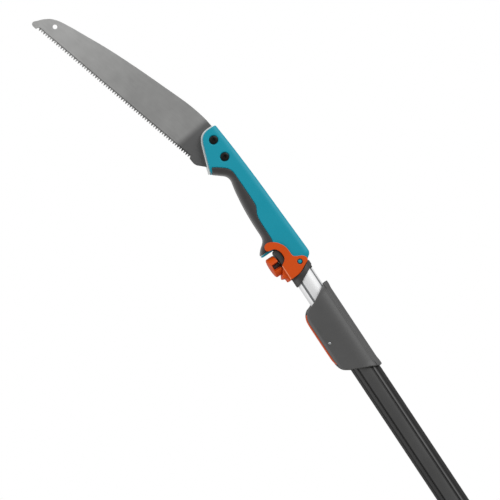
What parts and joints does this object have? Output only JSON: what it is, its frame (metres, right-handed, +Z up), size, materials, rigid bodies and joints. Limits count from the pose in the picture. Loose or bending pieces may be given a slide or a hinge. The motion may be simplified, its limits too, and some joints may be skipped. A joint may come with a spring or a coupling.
{
  "type": "telescoping pole saw",
  "caption": "Pruning saw head with a curved toothed blade clamped by a thumb screw to a two-tube telescoping pole with a lever lock and a rubber foot.",
  "frame": {"origin": "middle of the flat foot of the end cap, on the common axis of the two tubes", "axes": "+Z up the pole to the blade, -X the toothed and finger side, -Y the side with the blade bolt heads; the saw lies in the X-Z plane"},
  "size_m": [0.1576, 0.0482, 2.0642],
  "materials": {
    "ground_steel": "ground and satin",
    "cast_aluminium": "satin as cast",
    "teal_plastic": "fine moulded texture",
    "orange_plastic": "fine moulded texture",
    "soft_grip": "soft matt",
    "dark_plastic": "fine moulded texture",
    "black_plastic": "satin",
    "black_steel": "black oxide",
    "zinc_steel": "zinc plated",
    "brass": "turned",
    "anodised_tube": "silver anodised",
    "coated_tube": "dark plastic coating over aluminium",
    "rubber": "matt"
  },
  "bodies": {
    "saw_head": {"blade": "ground_steel", "blade_holder_near": "cast_aluminium", "blade_holder_far": "cast_aluminium", "handle_shell_near": "teal_plastic", "handle_shell_far": "teal_plastic", "grip_near": "soft_grip", "grip_far": "soft_grip", "blade_bolt_upper": "black_steel", "blade_bolt_lower": "black_steel", "blade_nut_upper": "zinc_steel", "blade_nut_lower": "zinc_steel", "shell_screw_1": "zinc_steel", "shell_screw_2": "zinc_steel", "shell_screw_3": "zinc_steel", "coupling_bracket": "orange_plastic", "bracket_screw_1": "zinc_steel", "bracket_screw_2": "zinc_steel", "end_plug": "dark_plastic", "plug_screw": "zinc_steel", "thread_insert": "brass", "inner_tube": "anodised_tube", "slider_bush": "black_plastic", "slider_pin": "zinc_steel"},
    "clamp_carriage": {"clamp_pad": "black_plastic"},
    "clamp_knob": {"thumb_knob": "orange_plastic", "knob_hub": "black_plastic", "clamp_stud": "zinc_steel"},
    "outer_pole": {"outer_tube": "coated_tube", "guide_bush": "black_plastic", "lock_housing_near": "dark_plastic", "lock_housing_far": "dark_plastic", "housing_screw_1": "zinc_steel", "housing_screw_2": "zinc_steel", "housing_screw_3": "zinc_steel", "lever_pin": "zinc_steel", "lever_spring": "zinc_steel", "end_cap": "rubber"},
    "release_lever": {"release_lever": "orange_plastic"},
    "lock_pin": {"lock_pin": "zinc_steel"}
  },
  "joints": [
    {"name": "pole_slide", "type": "slide", "parent": "saw_head", "child": "outer_pole", "axis": [0, 0, -1], "range_m": [0, 1.3]},
    {"name": "pad_slide", "type": "slide", "parent": "saw_head", "child": "clamp_carriage", "axis": [-1, 0, 0], "range_m": [0, 0.004]},
    {"name": "knob_turn", "type": "hinge", "parent": "clamp_carriage", "child": "clamp_knob", "pos_m": [-0.029, 0, 1.5632], "axis": [-1, 0, 0], "range_deg": [0, 720]},
    {"name": "lever_press", "type": "hinge", "parent": "outer_pole", "child": "release_lever", "pos_m": [-0.0266, 0, 1.423], "axis": [0, 1, 0], "range_deg": [0, 5], "stiffness_Nm_per_rad": 1.5, "springref_deg": -5.73},
    {"name": "lock_pin_draw", "type": "slide", "parent": "outer_pole", "child": "lock_pin", "axis": [-1, 0, 0], "range_m": [0, 0.0019]}
  ],
  "couplings": [
    {"joint": "pad_slide", "follows": "knob_turn", "m_per_rad": 0.00031831},
    {"joint": "lock_pin_draw", "follows": "lever_press", "m_per_rad": 0.021}
  ]
}
